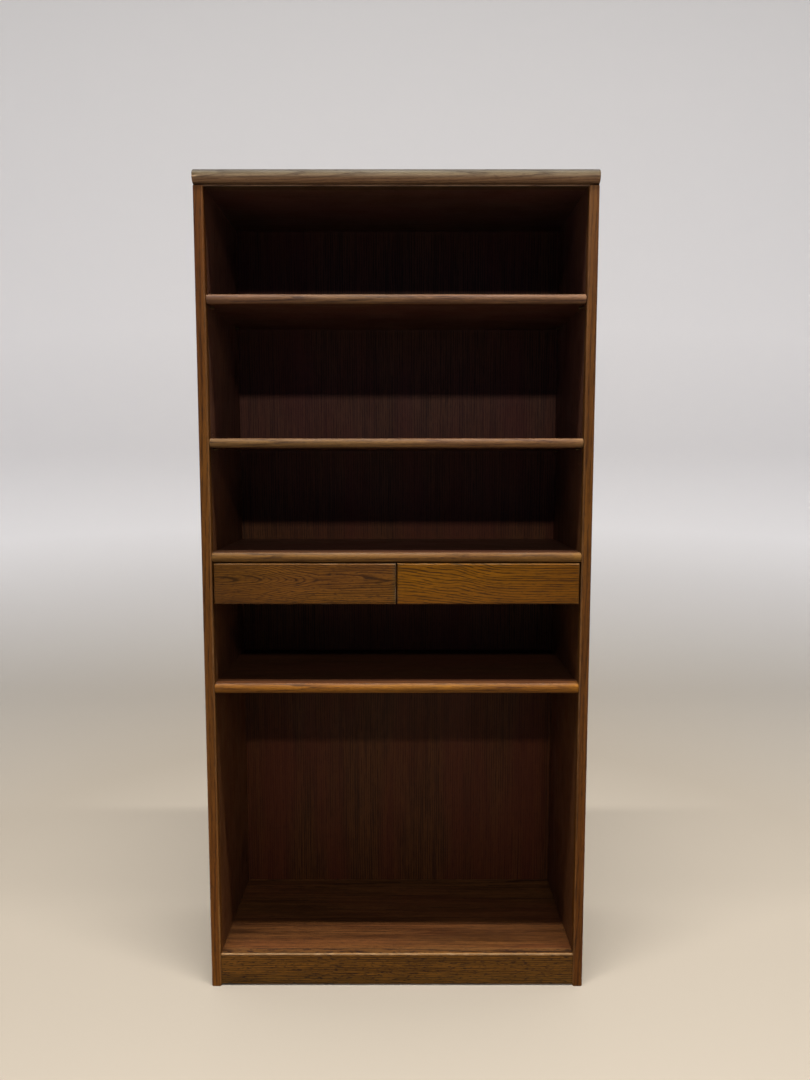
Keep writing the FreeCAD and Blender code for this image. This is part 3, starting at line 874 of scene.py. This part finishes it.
def stations(start, end, rounding, count):
    """Places along a strip, close together where its ends are rounded, and how far each
    section is drawn in there: r (1 - sqrt(1 - t t)) for t running out to the end."""
    t = np.sin(np.linspace(0, math.pi / 2, end_steps))[::-1]
    near_end = rounding * (1 - t)
    between = np.linspace(start + rounding, end - rounding, count)[1:-1]
    places = np.concatenate([start + near_end, between, (end - near_end)[::-1]])
    drawn_in = rounding * (1 - np.sqrt(1 - t * t))
    return places, np.concatenate([drawn_in, np.zeros(count - 2), drawn_in[::-1]])


def worn_strip(name, outline, run, dents, wear, axis):
    """The outline carried along the axis "X" or "Z" over the run, which is what stations
    gives. Dents[i, j] is how far point j of section i is pushed in, and wear[i, j] is 0 .. 1
    for the material."""
    places, drawn_in = run
    pushed = outline[None] + inward(outline)[None] * (dents + drawn_in[:, None])[..., None]
    along = np.broadcast_to(places[:, None], pushed.shape[:2])
    section = (pushed[..., 0], pushed[..., 1])
    order = (along, *section) if axis == "X" else (*section, along)
    strip = closed_strip(name, np.stack(order, axis=-1))
    worn = strip.data.attributes.new("wear", "FLOAT", "POINT")
    worn.data.foreach_set("value", np.clip(wear, 0, 1).astype(np.float32).ravel())
    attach(strip, "carcase")
    return strip


print("a run of", len(stations(0.0, 1.0, 0.01, 20)[0]), "sections for 20 between the roundings")

# %% [markdown]
# On the four shelves the nose is paler on its tip and below it. This is partly thinner stain and
# partly painted light that lifts the lower half, which faces away from the lamps. Multiplying the
# stain there keeps its grain, where a flat pale colour mixed in would paint over it. Each shelf has
# its own gain, which also paints a cast of the light: bluer on the upper shelves and warmer on the
# lower ones. The lowest nose is made paler as a whole, a painted highlight. Books have scuffed the
# right ends.

# %% The shelves' noses
nose_points = 33
nose_stations = 260
shelf_nose_bulge = 6.5 * MM
shelf_end_rounding = 0.6 * MM
scuff_lengths = (0.004, 0.05)
straight_out = (-1, 0)
out_and_up = (-0.8, 0.6)
right_end = 30 * MM
dent_depth = 0.10 * MM
tip_wear, scuff_wear, end_wear = 0.62, 0.25, 0.4
# Gains for the paler places of each nose: wear, and painted light whose blue falls from shelf 1 to
# shelf 4.
nose_wear_and_light_gain = {1: (2.80, 3.85, 5.00), 2: (2.90, 4.10, 3.90), 3: (2.72, 3.38, 1.70),
               4: (3.15, 3.30, 0.40)}
# Painted highlight: the lowest nose is made paler as a whole.
nose_painted_highlight_gain = {4: (1.35, 1.35, 1.35)}
for number in (1, 2, 3, 4):
    node = f"shelf_{number}_lipping"
    low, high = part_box(node)
    nose = nose_arc(low.y, low.z, high.z, shelf_nose_bulge, nose_points)
    rear_low = np.array([high.y, low.z])
    rear_high = np.array([high.y, high.z])
    outline = np.vstack([nose, straight(nose[-1], rear_low, 3), rear_low,
                         rear_high, straight(rear_high, nose[0], 3)])
    run = stations(low.x, high.x, shelf_end_rounding, nose_stations)
    slow, quick = wear_waves(outline, run[0], (100 + number, 200 + number), 2, *scuff_lengths)
    facing = turn_of(outline, out_and_up)[None]
    below_tip = outline[:, 1] < (low.z + high.z) / 2
    # Paler where the nose faces out, and most below the tip: thinner stain, and painted light on
    # the lower half.
    thin_stain_and_painted_light = soft_step(turn_of(outline, straight_out), 0.25, 0.95)
    thin_stain_and_painted_light = np.where(below_tip, thin_stain_and_painted_light ** 0.3, thin_stain_and_painted_light)
    wear = tip_wear * thin_stain_and_painted_light[None] + facing * scuff_wear * soft_step(quick, 0.5, 1.8)
    wear = wear + facing * end_wear * soft_step(run[0][:, None] - high.x, -right_end, 0)
    strip = worn_strip(f"shelf_nose_{number}", outline, run, dented(dent_depth, facing, slow),
                       wear, "X")
    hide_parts(node)
    strip.data.materials.append(
        oak(f"shelf_nose_{number}_stain", node, "X", "Z", 50 + number,
            deeper(stain_pale, nose_painted_highlight_gain.get(number, (1, 1, 1))), stain_dark, stain_red,
            worn_map=True, wear=1.0, rubbed=nose_wear_and_light_gain[number], rubbing="MULTIPLY", ring=0.005,
            heart_through=0.09, heart_across=0.02, taper=0.02, wander=0.008, figure=0.5,
            shine=0.12, tint=(0.85, 0.92, 0.92), satin=0.42))
print("shelf noses:", len(outline), "points round,", len(run[0]), "sections")

# %% [markdown]
# The top's nose is deeper, and a small square step below it, a quirk, sets it off from the bay. Its
# colour is largely painted light. The stain is dark, and it is made darker still above the tip,
# which is painted shade where the lamps overhead fall on it. The tip and the lower half are lifted
# to a grey, which is painted sheen and painted fill light as well as thinner stain, and the nose is
# warmer below. A chip is out at the left end. It is a dent in the surface as well as bare wood, a
# bell exp(-x x - z z) in units of its own half widths.

# %% The top's nose
top_bulge = 11 * MM
quirk_height = 3 * MM
quirk_depth = 2 * MM
top_end_rounding = 1.5 * MM
chip_from_end = 5 * MM
chip_above_middle = 2 * MM
chip_half_widths = (7 * MM, 2.2 * MM)
chip_depth = 1.3 * MM
top_dent_depth = 0.12 * MM
top_upper_painted_shade_gain = (0.52, 0.53, 0.44)
top_lower_gain = (1.04, 0.80, 0.66)
low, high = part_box("top_lipping")
middle_z = (low.z + high.z) / 2
nose = nose_arc(low.y, low.z + quirk_height, high.z, top_bulge, nose_points + 8)
quirk_y = nose[-1][0] + quirk_depth
step = np.array([[quirk_y, low.z + quirk_height], [quirk_y, low.z]])
rear = np.array([[high.y, low.z], [high.y, high.z]])
outline = np.vstack([nose, step, straight(step[1], rear[0], 2), rear,
                     straight(rear[1], nose[0], 4)])
run = stations(low.x, high.x, top_end_rounding, nose_stations)
slow, quick = wear_waves(outline, run[0], (301, 302), 2, *scuff_lengths)
facing = turn_of(outline, out_and_up)[None]
frontal = turn_of(outline, straight_out)
chip_along = (run[0][:, None] - (low.x + chip_from_end)) / chip_half_widths[0]
chip_up = (outline[None, :, 1] - (middle_z + chip_above_middle)) / chip_half_widths[1]
chip = np.exp(-chip_along ** 2 - chip_up ** 2) * frontal[None]
# Painted sheen and fill light as well as thinner stain: lifts the tip, and most of the lower half.
thin_stain_and_painted_light = np.where(outline[:, 1] > middle_z, soft_step(frontal, 0.68, 1.0),
                      soft_step(frontal, 0.1, 0.9))
wear = 0.6 * thin_stain_and_painted_light[None] + 0.12 * facing * soft_step(quick, 0.6, 1.8) + chip
dents = dented(top_dent_depth, facing, slow) + chip_depth * chip
top_nose = worn_strip("top_nose", outline, run, dents, wear, "X")
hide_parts("top_lipping")
# The dark stain is lifted to a grey by the rubbed gain: painted sheen and fill light, together with
# wear and the chip.
finish = oak("top_nose_stain", "top_lipping", "X", "Z", 60, (0.043, 0.0280, 0.0148),
             (0.023, 0.0142, 0.0072), stain_pale, worn_map=True, wear=0.8,
             rubbed=(6.1, 7.0, 8.0), rubbing="MULTIPLY", ring=0.0045, heart_through=0.09,
             heart_across=0.03, taper=0.03, wander=0.01, figure=0.9, blush_share=0.1,
             shine=0.12, tint=(0.85, 0.90, 0.90), satin=0.46)
# Painted shade above the tip, where the lamps overhead fall on it; warmer below.
tone_along(finish, "Z", low.z + 17 * MM, low.z + 23 * MM, top_upper_painted_shade_gain)
tone_along(finish, "Z", low.z + 19 * MM, low.z + 9 * MM, top_lower_gain)
top_nose.data.materials.append(finish)
print("top nose:", len(top_nose.data.polygons), "faces")

# %% [markdown]
# The sides end in solid strips too. Their outline is a rectangle whose two front corners are
# quarter circles, crisp to the eye and soft to the hand. The inner arris is rubbed by all that is
# slid in and out, the outer one only here and there. Towards the foot and towards the top their
# colour shifts, on each side in its own way. This is painted light and painted shade, which even
# out how the lamps light the edges at different heights.

# %% The uprights' front edges
arris_radius = 4 * MM
arris_points = 9
side_end_rounding = 0.5 * MM
side_scuff_lengths = (0.005, 0.3)
edge_foot_painted_light_gain = {"left": (1.32, 1.22, 0.85), "right": (1.0, 0.86, 0.60)}
edge_head_painted_light_gain = {"left": (0.93, 0.80, 0.68), "right": (1.08, 1.12, 1.30)}
for side, log in (("left", 61), ("right", 62)):
    node = f"side_lipping_{side}"
    low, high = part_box(node)
    arris_y = low.y + arris_radius
    left_arris = arc((low.x + arris_radius, arris_y), arris_radius, math.pi, 1.5 * math.pi,
                     arris_points)
    right_arris = arc((high.x - arris_radius, arris_y), arris_radius, 1.5 * math.pi, 2 * math.pi,
                      arris_points)
    rear = np.array([[high.x, high.y], [low.x, high.y]])
    outline = np.vstack([left_arris, straight(left_arris[-1], right_arris[0], 10), right_arris,
                         straight(right_arris[-1], rear[0], 2), rear,
                         straight(rear[1], left_arris[0], 2)])
    run = stations(low.z, high.z, side_end_rounding, 2 * nose_stations)
    slow, quick = wear_waves(outline, run[0], (400 + log, 500 + log), 3, *side_scuff_lengths)
    inner = np.array((1 if side == "left" else -1, -1)) / math.sqrt(2)
    outer = inner * (-1, 1)
    inner_arris = soft_step(turn_of(outline, inner), 0.75, 1.0)[None]
    outer_arris = soft_step(turn_of(outline, outer), 0.75, 1.0)[None]
    wear = inner_arris * (0.30 + 0.5 * soft_step(quick, 0.2, 1.6))
    wear = wear + outer_arris * 0.6 * soft_step(quick, 0.6, 1.8)
    strip = worn_strip(f"front_edge_{side}", outline, run,
                       dented(0.12 * MM, inner_arris + outer_arris, slow), wear, "Z")
    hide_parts(node)
    finish = oak(f"front_edge_{side}_stain", node, "Z", "X", log, (0.092, 0.0345, 0.0060),
                 (0.028, 0.0088, 0.0018), stain_red, worn_map=True, wear=0.45, ring=0.0042,
                 heart_through=0.12, heart_across=0.06, wander=0.006, figure=0.6)
    # Painted light and shade along the height of each edge.
    tone_along(finish, "Z", 0.75, 0.15, edge_foot_painted_light_gain[side])
    tone_along(finish, "Z", 1.2, 1.7, edge_head_painted_light_gain[side])
    strip.data.materials.append(finish)
print("front edges:", len(outline), "points round,", len(run[0]), "sections")

# %% [markdown]
# The plinth closes the foot under the bottom board. Its rounded upper arris, where brooms and shoes
# go by, shows as a bright line, which is worn and also a painted highlight. There the stain is
# quite gone, so bare wood is mixed in as a colour of its own. The rail darkens towards the floor
# and behind its face, under the bottom board: painted shade.

# %% The plinth
plinth_end_rounding = 0.4 * MM
plinth_scuff_lengths = (0.005, 0.12)
up_and_out = np.array((-1, 1)) / math.sqrt(2)
plinth_foot_painted_shade_gain = (0.76, 0.82, 0.86)
plinth_rear_painted_shade_gain = (0.75, 0.80, 1.70)
low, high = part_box("plinth_front")
upper_arris = arc((low.y + arris_radius, high.z - arris_radius), arris_radius, math.pi / 2, math.pi,
                  arris_points)
corners = np.array([[low.y, low.z], [high.y, low.z], [high.y, high.z]])
outline = np.vstack([upper_arris, straight(upper_arris[-1], corners[0], 12), corners,
                     straight(corners[2], upper_arris[0], 3)])
run = stations(low.x, high.x, plinth_end_rounding, nose_stations)
slow, quick = wear_waves(outline, run[0], (601, 602), 3, *plinth_scuff_lengths)
arris = soft_step(turn_of(outline, up_and_out), 0.7, 1.0)[None]
# A bright line along the arris: wear, and a painted highlight.
wear = arris * (0.45 + 0.5 * soft_step(quick, 0.0, 1.5))
plinth = worn_strip("plinth_rail", outline, run, dented(0.15 * MM, arris, slow), wear, "X")
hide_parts("plinth_front")
finish = oak("plinth_rail_stain", "plinth_front", "X", "Z", 63, (0.108, 0.0430, 0.0060),
             (0.018, 0.0060, 0.0012), (0.056, 0.023, 0.0032), worn_map=True, wear=0.7,
             rubbed=(0.27, 0.175, 0.095), ring=0.0046, heart_through=0.05,
             heart_across=-0.12, taper=0.02, wander=0.008, ripple=1.2, figure=0.85,
             streaks=0.4, pores=0.9, flecks=0.8)
# Painted shade near the floor, and behind the face under the bottom board.
tone_along(finish, "Z", low.z + 32 * MM, low.z, plinth_foot_painted_shade_gain)
tone_along(finish, "Y", low.y + 3 * MM, low.y + 7 * MM, plinth_rear_painted_shade_gain)
plinth.data.materials.append(finish)
print("plinth:", len(plinth.data.polygons), "faces")
